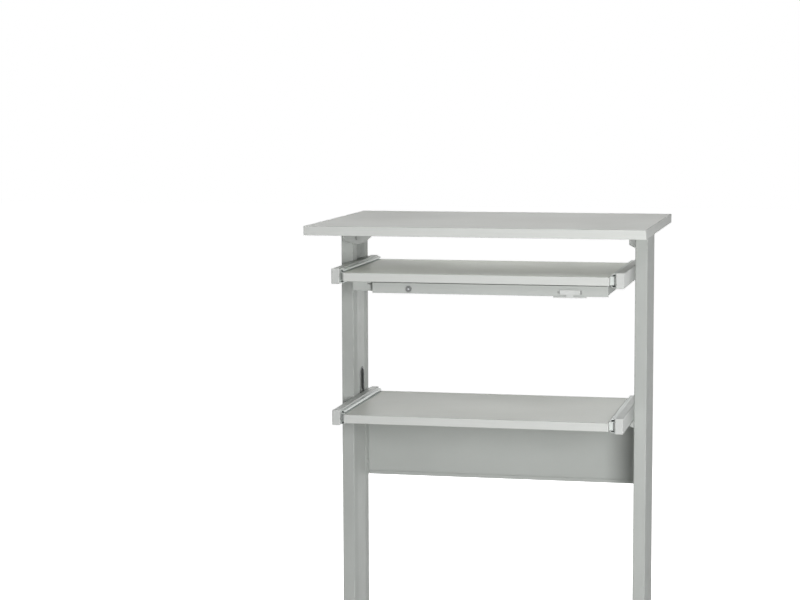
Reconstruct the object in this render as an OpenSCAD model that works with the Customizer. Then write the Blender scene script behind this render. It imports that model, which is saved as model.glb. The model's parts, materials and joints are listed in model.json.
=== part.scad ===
// Standing computer workstation: a worktop on two channelled uprights, with a pull-out keyboard
// shelf, a flat drawer under it and a pull-out lower shelf.
// Millimetres. +X is to the user's right, the front faces -Y, +Z is up.
// The origin is on the floor, below the middle of the worktop.

/* [Worktop] */
// Width of the worktop
top_w = 800; // [700:10:1000]
// Depth of the worktop
top_d = 600; // [560:10:700]
// Thickness of the worktop
top_t = 22; // [16:1:30]
// Height of the worktop's surface over the floor
top_h = 1180; // [1120:5:1300]
// Thickness of the edging on the boards
edge_t = 2; // [1:0.5:3]
// Rounding of the edging's long corners
edge_r = 1.2; // [0.5:0.1:2]

/* [Uprights] */
// Worktop's side edge to the outer face of the upright
up_inset = 24; // [0:1:60]
// Width of the upright, side to side
up_w = 30; // [24:1:40]
// Depth of the upright, front to back
up_d = 155; // [130:5:180]
// Worktop's front edge to the front face of the upright
up_front = 265; // [230:5:290]
// Wall of the upright's profile
up_wall = 2; // [1.5:0.25:3]
// Rounding of the upright's corners
up_r = 2.5; // [2.5:0.25:4]
// Depth of each of the two hollow lips beside the cable channel
lip_d = 37; // [30:1:45]
// Height of the two ribs in the channel
rib_h = 7; // [4:1:10]
// Thickness of the ribs
rib_t = 1.6; // [1:0.2:3]

/* [Channel covers] */
// Thickness of a cover strip
cover_t = 1.6; // [1:0.2:2.5]
// Clearance of a cover in the channel
cover_gap = 0.3; // [0.2:0.05:0.4]
// Depth of a cover's snap-in legs
cover_leg = 11; // [8:1:14]
// Radius of the snap groove
snap_r = 1.1; // [0.8:0.1:1.4]
// Width of the cable outlet
outlet_w = 36; // [24:1:40]
// Height of the outlet's straight part, from centre to centre of its ends
outlet_h = 56; // [30:1:90]
// Diameter of the wide lower end of the outlet
outlet_end_d = 54; // [44:1:56]
// Lower shelf arm's top to the centre of the wide end
outlet_low = 14; // [0:1:30]
// Lower shelf arm's top to the upper cover's lower end
cover_lap = 60; // [45:1:80]

/* [Worktop brackets] */
// Reach of a bracket in front of the upright and behind it
brk_reach = 105; // [80:5:150]
// Height of a bracket at the upright
brk_h = 43; // [36:1:46]
// Height of a bracket's two ends
brk_end_h = 25; // [16:1:30]
// Rounding of a bracket's two ends
brk_end_r = 10; // [4:1:14]
// Thickness of the bracket's plate
brk_t = 3; // [2:0.5:4]
// Width of the bracket's top flange
brk_flange = 28; // [22:1:40]

/* [Arms] */
// Width of an arm
arm_w = 20; // [18:1:30]
// Height of an arm
arm_h = 37; // [36:1:44]
// Wall of an arm
arm_wall = 2; // [1.5:0.25:2.5]
// Rounding of an arm's long corners
arm_r = 3; // [2.5:0.25:4]
// Worktop's front edge to the front of the arm's end cap
arm_front = 46; // [30:1:80]
// Worktop's front edge to the rear of the arm's end cap
arm_back = 450; // [440:5:480]
// Thickness of an end cap's head
cap_t = 5; // [3:0.5:8]
// Length of an end cap's plug
cap_plug = 14; // [8:1:20]
// Clearance of a plug in its tube
plug_gap = 0.2; // [0.1:0.05:0.4]

/* [Shelves] */
// Worktop's surface to the middle of the keyboard shelf
upper_drop = 121; // [115:1:160]
// Worktop's surface to the middle of the lower shelf
lower_drop = 457.5; // [420:0.5:520]
// Thickness of a shelf board
board_t = 20; // [18:1:22]
// Worktop's front edge to the front of a shelf
shelf_front = 29.5; // [20:0.5:40]
// Depth of a shelf
shelf_d = 402; // [390:1:420]

/* [Slides] */
// Width of a slide, from arm to board
slide_w = 13; // [12.5:0.1:14]
// Length of a slide
slide_l = 380; // [350:5:390]
// Sheet thickness of a slide
slide_t = 1.5; // [1.2:0.1:1.6]
// Height of the slide's inner member
inner_h = 20; // [19:0.5:21]
// Diameter of the slide's balls
ball_d = 5; // [4.5:0.1:5.2]
// Running clearance of a ball in its races
race_gap = 0.25; // [0.2:0.05:0.3]
// Depth of the race groove in the inner member
race_depth = 0.6; // [0.4:0.1:0.8]
// Distance that a shelf pulls out
shelf_travel = 280; // [200:10:280]
// Balls in each row
balls = 7; // [5:1:8]
// Distance between balls
ball_pitch = 12; // [10:0.5:12]

/* [Drawer] */
// Shelf's front edge to the drawer's front
dr_set = 12; // [6:1:25]
// Depth of the drawer
dr_d = 330; // [300:5:350]
// Reach of the drawer's front past the right guide
dr_over = 1; // [0.5:0.5:2]
// Depth of the folds behind the drawer's front
dr_fold = 5; // [4:0.5:6]
// Height of the drawer's rear wall
dr_h = 18.5; // [18:0.5:24]
// Gap between the shelf's underside and the drawer's rear wall
dr_gap = 8.5; // [8:0.5:12]
// Gap between the shelf's underside and the drawer's front
dr_front_gap = 2.5; // [2:0.5:3]
// Sheet thickness of the drawer
dr_t = 1.2; // [1:0.1:1.5]
// Shelf's left end to the left guide
guide_l_in = 18.2; // [14:0.2:26]
// Width of the left guide
guide_l_w = 47; // [40:1:50]
// Shelf's right end to the right guide
guide_r_in = 4; // [3:0.5:10]
// Width of the right guide
guide_r_w = 22; // [18:1:24]
// Height of the guides
guide_h = 23.5; // [20:0.5:26]
// Wall of the guides
guide_t = 1.5; // [1.2:0.1:2]
// Drawer's front to the front of the guides
guide_set = 14; // [12:1:20]
// Gap between a guide and the drawer's wall
guide_gap = 2.8; // [1.5:0.1:3.5]
// Reach of the drawer's lip in its guide
lip_reach = 9; // [6:0.5:10]
// Running clearance of the lip in its guide
lip_gap = 0.4; // [0.3:0.05:0.6]

/* [Drawer pull and lock] */
// Drawer's right edge to the middle of the pull
pull_in = 89; // [60:1:160]
// Width of the pull's plate
pull_w = 47; // [30:1:60]
// Height of the pull's plate
pull_h = 11.5; // [8:0.5:14]
// Width of the pull's finger lip
pull_lip_w = 76; // [50:1:90]
// Drop of the finger lip below the drawer
pull_drop = 3.4; // [2:0.1:5]
// Depth of the finger lip
pull_lip_d = 16; // [12:1:20]
// Thickness of the pull's plate
pull_t = 2.5; // [2:0.25:4]
// Drawer's left edge to the middle of the lock
lock_in = 87; // [60:1:160]
// Drawer's lower edge to the middle of the lock
lock_up = 10.5; // [10:0.5:12]
// Diameter of the lock's rosette
lock_d = 15; // [13:0.5:16]
// Diameter of the lock's plug
plug_d = 8; // [7:0.5:8.5]
// Running clearance of the lock's plug
lock_gap = 0.08; // [0.05:0.01:0.1]
// Length of the lock's housing
lock_l = 18; // [14:1:24]
// Reach of the lock's cam
cam_reach = 13; // [12:0.5:14]

/* [Back panel] */
// Worktop's surface to the panel's lower edge
panel_drop = 660; // [600:5:760]
// Height of the panel
panel_h = 180; // [100:5:180]
// Sheet thickness of the panel
panel_t = 1.5; // [1:0.25:2]
// Height of the hem on the lower edge
hem_h = 8.5; // [6:0.5:15]
// Depth of the panel's end flanges
panel_flange = 34; // [28:1:36]
// Depth of the panel's top flange
panel_top_d = 18; // [12:1:24]

/* [Feet] */
// Length of a foot with its end caps
foot_l = 560; // [480:10:600]
// Height of a foot's tube
foot_h = 50; // [40:1:60]
// Wall of a foot's tube
foot_wall = 2.5; // [2:0.25:3]
// Rounding of a foot's long corners
foot_r = 4; // [3:0.5:5]
// Height of a foot's underside over the floor
glide_h = 14; // [12:1:20]
// Diameter of a levelling glide
glide_d = 36; // [28:1:40]
// Thickness of a glide's disc
glide_t = 8; // [6:1:9]
// Foot's end to the middle of its glide
glide_in = 40; // [30:5:80]
// Distance that a glide screws out
glide_travel = 12; // [5:1:15]
// Height of the tie bar
tie_h = 40; // [30:1:44]
// Thickness of the tie bar
tie_t = 20; // [15:1:30]
// Wall of the tie bar
tie_wall = 2; // [1.5:0.25:3]
// Thickness of the plates on the tie bar's ends
tie_plate_t = 4; // [3:0.5:6]
// Depth of the plates on the tie bar's ends
tie_plate_d = 70; // [60:1:90]

/* [Fasteners] */
// Diameter of the machine bolts
bolt_d = 6; // [5:0.5:6]
// Diameter of the slides' and brackets' screws
screw_d = 4; // [3.5:0.1:4.2]
// Diameter of the screws under the keyboard shelf
small_d = 3; // [2.5:0.1:3.2]
// Clearance of bolts and screws in their holes
hole_gap = 0.2; // [0.1:0.05:0.4]
// Length of a bracket screw in the worktop
top_screw_l = 13; // [10:0.5:14]
// Length of a slide screw in a shelf's side edge
edge_screw_l = 15; // [12:1:20]
// Length of a guide screw in the keyboard shelf
guide_screw_l = 11; // [8:0.5:14]

/* [Hidden] */
$fn = 48;

// A small overlap that joins two solids or lets a cut pass a face
eps = 0.5;

// Places on the left side, which is mirrored for the right
y_front = -top_d / 2;
x_out = -top_w / 2 + up_inset;
x_in = x_out + up_w;
x_arm = x_in + arm_w;
x_board = x_arm + slide_w;
up_y = y_front + up_front;
under_z = top_h - top_t;
upper_z = top_h - upper_drop;
lower_z = top_h - lower_drop;
foot_top = glide_h + foot_h;
channel_d = up_d - 2 * lip_d;
lip_y = [up_y + lip_d / 2, up_y + up_d - lip_d / 2];

// Arms
arm_y = y_front + arm_front + cap_t;
arm_l = arm_back - arm_front - 2 * cap_t;

// Shelves
shelf_y = y_front + shelf_front;
shelf_w = -2 * x_board;

// Slide section, u from the arm and v from the slide's middle
ball_r = ball_d / 2;
race_r = ball_r + race_gap;
ball_shift = 0.2;
ball_u = slide_w / 2 - ball_shift;
ball_v = inner_h / 2 - race_depth + race_r;
outer_v = ball_v + race_r + slide_t;
cage_t = 0.7;
cage_gap = 0.3;
cage_u = slide_t + cage_gap;
cage_l = balls * ball_pitch;
inner_u = cage_u + cage_t + cage_gap + 0.1;
slide_set = 2;
slide_y = arm_y + slide_set;
tab_gap = 0.3;
tab_u = 4.5;
// The cage travels half as far as the shelf and ends inside both members
cage_y = slide_y + shelf_travel / 2 + 3;
slide_screw_y = [for (f = [0.12, 0.5, 0.84]) slide_y + f * slide_l];

// Drawer
board_under = upper_z - board_t / 2;
dr_y = shelf_y + dr_set;
dr_top = board_under - dr_gap;
dr_low = dr_top - dr_h;
dr_front_h = board_under - dr_front_gap - dr_low;
guide_left_x = x_board + guide_l_in;
guide_right_x = -x_board - guide_r_in - guide_r_w;
wall_left = guide_left_x + guide_l_w + guide_gap;
wall_right = guide_right_x - guide_gap;
dr_right = guide_right_x + guide_r_w + dr_over;
dr_w = dr_right - wall_left;
guide_low = board_under - guide_h;
guide_y = dr_y + guide_set;
guide_l = dr_d - guide_set;
notch_h = 6.5;
notch_w = lip_reach + guide_gap + 1;
guide_cap_t = 3;
ledge_z = board_under - guide_t - notch_h;
lip_z = ledge_z + lip_gap;
lip_front = guide_y + 4;
lip_l = dr_y + dr_d - lip_front;

// Drawer pull
pull_x = dr_right - pull_in;
pull_z = dr_low + dr_h / 2 + 0.4;
pull_boss_in = 3;
pull_web_w = 16;
pull_groove_r = 3.4;
pull_groove_z = dr_low - pull_drop - pull_groove_r + 1;

// Lock
lock_x = wall_left + lock_in;
lock_z = dr_low + lock_up;
rosette_t = 2;
lock_nut_t = 2.5;
key_slot = [5.2, 8, 1];
plug_proud = 0.3;
cam_t = 2;
cam_r = 3;
cam_hub_r = 4.5;
cam_y = dr_y + lock_l + 1;
strike_w = 36;
strike_drop = 7;
strike_foot = 12;
strike_y = cam_y - 0.7 - guide_t;
strike_screw_x = [lock_x - strike_w / 2 + 8, lock_x + strike_w / 2 - 8];
strike_screw_y = strike_y - strike_foot / 2;

// Back panel
panel_y = up_y + up_d;
panel_z = top_h - panel_drop;
panel_bolt_z = [for (f = [0.2, 0.83]) panel_z + f * panel_h];
hem_gap = 0.6;
hem_in = 3;

// Bolts
bolt_r = bolt_d / 2;
screw_r = screw_d / 2;
small_r = small_d / 2;
head_r = bolt_d * 0.9;
head_t = bolt_d * 0.55;
nut_t = bolt_d * 0.8;
nut_r = bolt_d * 0.92;
bolt_end = 2;
sunk_head = 1.7;
pan_head = 1.8;
pilot_end = 1;

// Feet
foot_tube_l = foot_l - 2 * cap_t;
glide_y = [-foot_l / 2 + glide_in, foot_l / 2 - glide_in];
glide_r = 3;
stem_r = 4;
// Stem that is left in the foot when a glide is screwed out
stem_hold = 16;
tie_y = up_y + up_d / 2;
tie_z = glide_h + foot_h / 2;
tie_bolt_in = 9;
tie_r = tie_wall + 1;
tie_bolt_y = [tie_y - tie_plate_d / 2 + tie_bolt_in, tie_y + tie_plate_d / 2 - tie_bolt_in];

// Rectangle with round corners, from the origin
module round_rect(w, d, r) {
    translate([r, 0]) square([w - 2 * r, d]);
    translate([0, r]) square([w, d - 2 * r]);
    for (x = [r, w - r], y = [r, d - r]) translate([x, y]) circle(r);
}

// Extrusion along Y of a section drawn in X and Z
module along_y(y, l) { translate([0, y + l, 0]) rotate([90, 0, 0]) linear_extrude(l) children(); }

// Extrusion along X of a section drawn in Y and Z
module along_x(x, l) { translate([x, 0, 0]) rotate([90, 0, 90]) linear_extrude(l) children(); }

// Cylinder along X from a point
module rod_x(p, r, l) { translate(p) rotate([0, 90, 0]) cylinder(r = r, h = l); }

// Cylinder along Y from a point
module rod_y(p, r, l) { translate(p) rotate([-90, 0, 0]) cylinder(r = r, h = l); }

// The left side as drawn, or its mirror image for the right
module on_side(s) { if (s < 0) children(); else mirror([1, 0, 0]) children(); }

// Block with all its edges rounded, from the origin
module soft_block(w, d, h, r) {
    intersection() {
        linear_extrude(h) round_rect(w, d, r);
        along_x(0, w) round_rect(d, h, r);
        along_y(0, d) round_rect(w, h, r);
    }
}

// Rectangular tube along Y
module tube_y(w, h, wall, r, y, l) {
    along_y(y, l) difference() {
        round_rect(w, h, r);
        translate([wall, wall]) round_rect(w - 2 * wall, h - 2 * wall, r - wall);
    }
}

// End cap of a tube along Y: a rounded head and a plug behind it, the head's face at the origin
module tube_cap(w, h, wall, r) {
    intersection() {
        soft_block(w, 2 * cap_t, h, r);
        cube([w, cap_t, h]);
    }
    in = wall + plug_gap;
    translate([in, 0, in]) along_y(cap_t - eps, cap_plug + eps) {
        round_rect(w - 2 * in, h - 2 * in, r - wall);
    }
}

// Bolt along +X with a button head at the origin, and a nut that bears at the given grip
module bolt_x(grip) {
    rod_x([-head_t, 0, 0], head_r, head_t);
    rod_x([-eps, 0, 0], bolt_r, grip + nut_t + bolt_end + eps);
    translate([grip, 0, 0]) rotate([0, 90, 0]) cylinder(r = nut_r, h = nut_t, $fn = 6);
}

// Countersunk screw along -X with its face at the origin
module sunk_screw_x(l) {
    translate([-slide_t, 0, 0]) rotate([0, 90, 0]) {
        cylinder(r1 = screw_r, r2 = screw_r * sunk_head, h = slide_t);
    }
    rod_x([-l, 0, 0], screw_r, l - slide_t + 0.01);
}

// Pan-head screw along +X with its head before the origin
module pan_screw_x(r, l) {
    rod_x([-r, 0, 0], r * pan_head, r);
    rod_x([-eps, 0, 0], r, l + eps);
}

// Boards

// Solid of a board with its edging: width, depth, thickness, front edge and underside
module board_blank(w, d, t, y, z) {
    translate([-w / 2, y, z]) soft_block(w, d, t, edge_r);
}

// The board inside its edging
module board_core(w, d, t, y, z) {
    translate([-w / 2 + edge_t, y + edge_t, z]) cube([w - 2 * edge_t, d - 2 * edge_t, t]);
}

module worktop() {
    color("lightgray") difference() {
        board_core(top_w, top_d, top_t, y_front, under_z);
        for (s = [-1, 1]) on_side(s) for (y = bracket_screw_y) {
            translate([bracket_screw_x, y, under_z - eps]) {
                cylinder(r = screw_r + hole_gap, h = top_screw_l + pilot_end + eps);
            }
        }
    }
}

module worktop_edging() {
    color("gainsboro") difference() {
        board_blank(top_w, top_d, top_t, y_front, under_z);
        board_core(top_w, top_d, top_t + 2 * eps, y_front, under_z - eps);
    }
}

// Holes for the slides' screws in a board's two side edges
module slide_pilots(z) {
    for (s = [-1, 1]) on_side(s) for (y = slide_screw_y) {
        rod_x([x_board - eps, y, z], screw_r + hole_gap, edge_screw_l + pilot_end + eps);
    }
}

module shelf_board(z) {
    difference() {
        board_core(shelf_w, shelf_d, board_t, shelf_y, z - board_t / 2);
        slide_pilots(z);
    }
}

module shelf_edging(z) {
    difference() {
        board_blank(shelf_w, shelf_d, board_t, shelf_y, z - board_t / 2);
        board_core(shelf_w, shelf_d, board_t + 2 * eps, shelf_y, z - board_t / 2 - eps);
        slide_pilots(z);
    }
}

module keyboard_shelf() {
    color("lightgray") difference() {
        shelf_board(upper_z);
        for (p = shelf_screw_xy) translate([p[0], p[1], board_under - eps]) {
            cylinder(r = small_r + hole_gap, h = guide_screw_l + pilot_end + eps);
        }
    }
}

module keyboard_shelf_edging() { color("gainsboro") shelf_edging(upper_z); }
module lower_shelf() { color("lightgray") shelf_board(lower_z); }
module lower_shelf_edging() { color("gainsboro") shelf_edging(lower_z); }

// Uprights and their covers

// Section of the left upright, from its outer front corner: two hollow lips joined by a web
module upright_section() {
    difference() {
        round_rect(up_w, up_d, up_r);
        for (y = [up_wall, up_d - lip_d + up_wall]) translate([up_wall, y]) {
            round_rect(up_w - 2 * up_wall, lip_d - 2 * up_wall, up_r - up_wall);
        }
        translate([up_wall, lip_d]) square([up_w, channel_d]);
        for (y = [lip_d, up_d - lip_d]) translate([snap_x, y]) circle(snap_r);
    }
    for (f = [1, 2]) translate([up_wall - eps, lip_d + f * channel_d / 3 - rib_t / 2]) {
        square([rib_h + eps, rib_t]);
    }
}

snap_x = up_w - cover_leg + snap_r + cover_gap;

// Holes in the inner walls of the two lips at a height
module lip_holes(z, ys) {
    for (y = ys) rod_x([x_in - up_wall - eps, y, z], bolt_r + hole_gap, up_wall + 2 * eps);
}

bracket_bolt_z = under_z - brk_h * 0.6;

module upright(s) {
    color("silver") on_side(s) difference() {
        translate([x_out, up_y, foot_top]) linear_extrude(under_z - foot_top) upright_section();
        for (z = [upper_z, lower_z, bracket_bolt_z]) lip_holes(z, lip_y);
        for (z = panel_bolt_z) lip_holes(z, [lip_y[1]]);
    }
}

// Section of a cover strip that snaps into the left upright's channel
module cover_section() {
    w = channel_d - 2 * cover_gap;
    translate([up_w - cover_t - cover_gap, lip_d + cover_gap]) square([cover_t, w]);
    for (e = [0, 1]) translate([0, lip_d + cover_gap + e * (w - cover_t)]) {
        translate([up_w - cover_leg, 0]) square([cover_leg - cover_gap - eps, cover_t]);
    }
    for (y = [lip_d + cover_gap, up_d - lip_d - cover_gap]) translate([snap_x, y]) {
        circle(snap_r - cover_gap);
    }
}

module cover(s, z, h) {
    on_side(s) translate([x_out, up_y, z]) linear_extrude(h) cover_section();
}

cover_end_gap = 2;
cover_upper_low = lower_z + arm_h / 2 - cover_lap;
cover_upper_top = upper_z - arm_h / 2 - cover_end_gap;
cover_lower_low = foot_top + cover_end_gap;
outlet_y = up_y + up_d / 2 + 9.5;
outlet_z = lower_z + arm_h / 2 - outlet_low;

module upper_cover(s) {
    color("silver") difference() {
        cover(s, cover_upper_low, cover_upper_top - cover_upper_low);
        on_side(s) {
            x = x_in - cover_leg;
            l = cover_leg + eps;
            rod_x([x, outlet_y, outlet_z], outlet_end_d / 2, l);
            rod_x([x, outlet_y, outlet_z + outlet_h], outlet_w / 2, l);
            translate([x, outlet_y - outlet_w / 2, outlet_z]) cube([l, outlet_w, outlet_h]);
        }
    }
}

module lower_cover(s) {
    color("silver") cover(s, cover_lower_low, cover_upper_low - cover_gap - cover_lower_low);
}

// Worktop brackets

// Half of a bracket's outline: a rounded end that deepens towards the upright's middle
brk_slope = atan((brk_h - brk_end_h) / (brk_reach + lip_d));
brk_round = [brk_end_r - brk_reach, brk_end_r - brk_end_h];
brk_tangent = brk_round - brk_end_r * [sin(brk_slope), cos(brk_slope)];
bracket_half = [
    [-brk_reach, 0], [-brk_reach, brk_round[1]], brk_round, brk_tangent,
    [lip_d, -brk_h], [up_d / 2 + eps, -brk_h], [up_d / 2 + eps, 0]
];
brk_screw_in = 20;
bracket_screw_x = x_in + brk_t + (brk_flange - brk_t) / 2;
bracket_screw_y = [
    up_y - brk_reach + brk_screw_in, up_y - brk_screw_in,
    up_y + up_d + brk_screw_in, up_y + up_d + brk_reach - brk_screw_in
];

module bracket(s) {
    color("silver") on_side(s) difference() {
        union() {
            translate([0, up_y + up_d / 2, under_z]) along_x(x_in, brk_t) for (m = [0, 1]) {
                mirror([m, 0]) translate([-up_d / 2, 0]) {
                    polygon(bracket_half);
                    translate(brk_round) circle(brk_end_r);
                }
            }
            translate([x_in, up_y - brk_reach, under_z - brk_t]) {
                cube([brk_flange, up_d + 2 * brk_reach, brk_t]);
            }
        }
        for (y = lip_y) rod_x([x_in - eps, y, bracket_bolt_z], bolt_r + hole_gap, brk_t + 2 * eps);
        for (y = bracket_screw_y) translate([bracket_screw_x, y, under_z - brk_t - eps]) {
            cylinder(r = screw_r + hole_gap, h = brk_t + 2 * eps);
        }
    }
}

module bracket_bolts() {
    color("gray") for (s = [-1, 1]) on_side(s) for (y = lip_y) {
        translate([x_in + brk_t, y, bracket_bolt_z]) mirror([1, 0, 0]) bolt_x(brk_t + up_wall);
    }
}

module bracket_screws() {
    color("gray") for (s = [-1, 1]) on_side(s) for (y = bracket_screw_y) {
        translate([bracket_screw_x, y, under_z - brk_t]) rotate([0, -90, 0]) {
            pan_screw_x(screw_r, brk_t + top_screw_l);
        }
    }
}

// Arms

module arm(s, z) {
    color("silver") on_side(s) difference() {
        translate([x_in, 0, z - arm_h / 2]) tube_y(arm_w, arm_h, arm_wall, arm_r, arm_y, arm_l);
        for (y = lip_y) {
            rod_x([x_in - eps, y, z], bolt_r + hole_gap, arm_wall + 2 * eps);
            rod_x([x_arm - arm_wall - eps, y, z], head_r + 1, arm_wall + 2 * eps);
        }
        for (y = slide_screw_y) {
            rod_x([x_arm - arm_wall - eps, y, z], screw_r + hole_gap, arm_wall + 2 * eps);
        }
    }
}

module arm_cap(z) {
    translate([x_in, arm_y - cap_t, z - arm_h / 2]) tube_cap(arm_w, arm_h, arm_wall, arm_r);
}

module arm_caps_front() {
    color("whitesmoke") for (s = [-1, 1], z = [upper_z, lower_z]) on_side(s) arm_cap(z);
}

module arm_caps_rear() {
    color("whitesmoke") for (s = [-1, 1], z = [upper_z, lower_z]) on_side(s) {
        translate([0, 2 * arm_y + arm_l, 0]) mirror([0, 1, 0]) arm_cap(z);
    }
}

module arm_bolts() {
    color("gray") for (s = [-1, 1], z = [upper_z, lower_z], y = lip_y) on_side(s) {
        translate([x_in + arm_wall, y, z]) mirror([1, 0, 0]) bolt_x(arm_wall + up_wall);
    }
}

// Ball slides

// Section of the outer member: a web on the arm, and two flanges rolled round the ball rows
module slide_outer_section() {
    translate([0, -outer_v]) square([slide_t, 2 * outer_v]);
    for (m = [0, 1]) mirror([0, m]) {
        translate([0, outer_v - slide_t]) square([ball_u + 0.01, slide_t]);
        translate([ball_u, ball_v]) intersection() {
            difference() {
                circle(race_r + slide_t);
                circle(race_r);
            }
            translate([0, -race_depth]) square(2 * (race_r + slide_t));
        }
    }
}

// Section of the inner member: a web on the board, and two flanges with a race groove each
module slide_inner_section() {
    translate([slide_w - slide_t, -inner_h / 2]) square([slide_t, inner_h]);
    for (m = [0, 1]) mirror([0, m]) difference() {
        translate([inner_u, inner_h / 2 - slide_t]) square([slide_w - inner_u, slide_t]);
        translate([ball_u, ball_v]) circle(race_r);
    }
}

// Section of the ball cage: a web between the members and two flanges through the ball rows
module cage_section() {
    translate([cage_u, -ball_v - cage_t / 2]) square([cage_t, 2 * ball_v + cage_t]);
    for (m = [0, 1]) mirror([0, m]) translate([cage_u, ball_v - cage_t / 2]) {
        square([ball_u + ball_r * 0.6 - cage_u, cage_t]);
    }
}

module slide_outer(s, z) {
    color("whitesmoke") on_side(s) translate([x_arm, 0, z]) difference() {
        along_y(slide_y, slide_l) slide_outer_section();
        for (y = slide_screw_y) translate([0, y, 0]) rotate([0, 90, 0]) {
            cylinder(r1 = screw_r + hole_gap, r2 = screw_r * 1.7 + hole_gap, h = slide_t + 0.01);
        }
    }
}

// Inner member, with a tab bent across its front end before the outer member's end
module slide_inner(s, z) {
    color("whitesmoke") on_side(s) translate([x_arm, 0, z]) difference() {
        union() {
            along_y(slide_y - tab_gap - slide_t, slide_l) slide_inner_section();
            translate([tab_u, slide_y - tab_gap - slide_t, -inner_h / 2]) {
                cube([slide_w - tab_u, slide_t, inner_h]);
            }
        }
        for (y = slide_screw_y) {
            rod_x([slide_w - slide_t - eps, y, 0], screw_r + hole_gap, slide_t + 2 * eps);
        }
    }
}

ball_ys = [for (i = [0:balls - 1]) cage_y + (i + 0.5) * ball_pitch];

module ball_cage(z) {
    for (s = [-1, 1]) on_side(s) translate([x_arm, 0, z]) difference() {
        along_y(cage_y, cage_l) cage_section();
        for (y = ball_ys, m = [-1, 1]) translate([ball_u, y, m * ball_v - 1]) {
            cylinder(r = ball_r + 0.1, h = 2);
        }
    }
}

module slide_balls(z) {
    for (s = [-1, 1]) on_side(s) translate([x_arm, 0, z]) for (y = ball_ys, m = [-1, 1]) {
        translate([ball_u, y, m * ball_v]) sphere(ball_r);
    }
}

module slide_outer_screws() {
    color("gray") for (s = [-1, 1], z = [upper_z, lower_z], y = slide_screw_y) on_side(s) {
        translate([x_arm + slide_t, y, z]) sunk_screw_x(slide_t + arm_wall + 4);
    }
}

module slide_inner_screws(z) {
    color("gray") for (s = [-1, 1], y = slide_screw_y) on_side(s) {
        translate([x_board - slide_t, y, z]) pan_screw_x(screw_r, slide_t + edge_screw_l);
    }
}

module ball_cage_upper() { color("gold") ball_cage(upper_z); }
module ball_cage_lower() { color("gold") ball_cage(lower_z); }
module slide_balls_upper() { color("white") slide_balls(upper_z); }
module slide_balls_lower() { color("white") slide_balls(lower_z); }

// Drawer

// Section of a guide in X and Z, its open side at x = 0 and its body towards +X
module guide_section(w) {
    difference() {
        square([w, guide_h]);
        translate([-eps, guide_h - guide_t - notch_h]) square([notch_w + eps, notch_h]);
        translate([guide_t, guide_t]) square([notch_w - guide_t, guide_h - 3 * guide_t - notch_h]);
        translate([notch_w + guide_t, guide_t]) {
            square([w - notch_w - 2 * guide_t, guide_h - 2 * guide_t]);
        }
    }
}

module guide_at(left) {
    if (left) translate([guide_left_x + guide_l_w, 0, guide_low]) mirror([1, 0, 0]) children();
    else translate([guide_right_x, 0, guide_low]) children();
}

guide_screw_xy = [
    for (f = [0.15, 0.5, 0.85]) each [
        [guide_left_x + (guide_l_w - notch_w) / 2, guide_y + f * guide_l],
        [guide_right_x + (guide_r_w + notch_w) / 2, guide_y + f * guide_l]
    ]
];
shelf_screw_xy = concat(guide_screw_xy, [for (x = strike_screw_x) [x, strike_screw_y]]);

module guide(left, w) {
    color("silver") difference() {
        guide_at(left) along_y(guide_y, guide_l) guide_section(w);
        for (p = guide_screw_xy) translate([p[0], p[1], board_under - guide_t - eps]) {
            cylinder(r = small_r + hole_gap, h = guide_t + 2 * eps);
        }
    }
}

// Plate that closes the front end of a guide and leaves the lip's way open
module guide_cap(left, w) {
    guide_at(left) along_y(guide_y - guide_cap_t, guide_cap_t) difference() {
        round_rect(w, guide_h - 0.4, 1.5);
        translate([-eps, guide_h - guide_t - notch_h]) square([notch_w + eps, dr_t + 2 * lip_gap]);
    }
}

module guide_caps() {
    color("whitesmoke") guide_cap(true, guide_l_w);
    color("whitesmoke") guide_cap(false, guide_r_w);
}

// Screws of the guides and of the lock's strike, up into the keyboard shelf
module guide_screws() {
    color("gray") for (p = shelf_screw_xy) translate([p[0], p[1], board_under - guide_t]) {
        rotate([0, -90, 0]) pan_screw_x(small_r, guide_t + guide_screw_l);
    }
}

// Tray of folded sheet, welded to the drawer's front: floor, walls and the lips in the guides
module drawer_tray() {
    in_w = wall_right - wall_left;
    tray_d = dr_d - dr_t;
    color("silver") {
        translate([wall_left, dr_y + dr_t, dr_low]) cube([in_w, tray_d, dr_t]);
        translate([wall_left, dr_y + tray_d, dr_low]) cube([in_w, dr_t, dr_h]);
        for (x = [wall_left, wall_right - dr_t]) translate([x, dr_y + dr_t, dr_low]) {
            cube([dr_t, tray_d, lip_z + dr_t - dr_low]);
        }
        for (x = [wall_left - guide_gap - lip_reach, wall_right - dr_t]) {
            translate([x, lip_front, lip_z]) cube([lip_reach + guide_gap + dr_t, lip_l, dr_t]);
        }
    }
}

// Front sheet, wider than the tray, with folds along its top and its right end
module drawer_front() {
    color("silver") difference() {
        union() {
            translate([wall_left, dr_y, dr_low]) cube([dr_w, dr_t, dr_front_h]);
            translate([wall_left, dr_y, dr_low + dr_front_h - dr_t]) cube([dr_w, dr_fold, dr_t]);
            translate([dr_right - dr_t, dr_y, dr_low]) cube([dr_t, dr_fold, dr_front_h]);
        }
        rod_y([lock_x, dr_y - eps, lock_z], lock_d / 2 - 1, dr_t + 2 * eps);
        translate([pull_x - pull_w / 2, dr_y - eps, pull_z - pull_h / 2]) {
            pull_boss(pull_boss_in, dr_t + 2 * eps);
        }
    }
}

// Boss of the pull or its hole, inside the plate's edges by a distance
module pull_boss(in, l) { translate([in, 0, in]) cube([pull_w - 2 * in, l, pull_h - 2 * in]); }

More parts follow.
